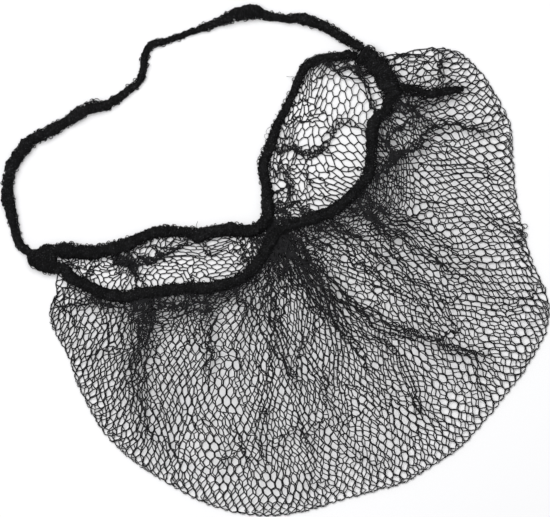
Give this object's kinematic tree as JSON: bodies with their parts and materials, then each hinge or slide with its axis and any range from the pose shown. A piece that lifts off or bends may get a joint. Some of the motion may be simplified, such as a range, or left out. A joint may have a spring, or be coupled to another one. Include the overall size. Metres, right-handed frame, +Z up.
{
  "type": "beard net",
  "caption": "Pouch of knitted hexagonal net with a two-lipped elastic mouth and an elastic loop for the head, lying flat.",
  "frame": {"origin": "on the surface that the net lies on, under the middle of its outline's box", "axes": "+Z up from that surface; +X along the net's long side, from the head loop to the pouch's far side; +Y from the pouch's bottom to the head loop"},
  "size_m": [0.2732, 0.2546, 0.0111],
  "materials": {
    "shirred_elastic": "matt, finely ribbed and slightly fuzzy black net gathered round elastic",
    "net_thread": "thin black knitted nylon thread, softly shining"
  },
  "bodies": {
    "root": {"head_loop": "shirred_elastic", "back_rim": "shirred_elastic", "front_rim": "shirred_elastic", "left_gather": "shirred_elastic", "right_gather": "shirred_elastic", "gather_tail": "shirred_elastic", "front_net": "net_thread", "back_net": "net_thread"}
  },
  "joints": []
}
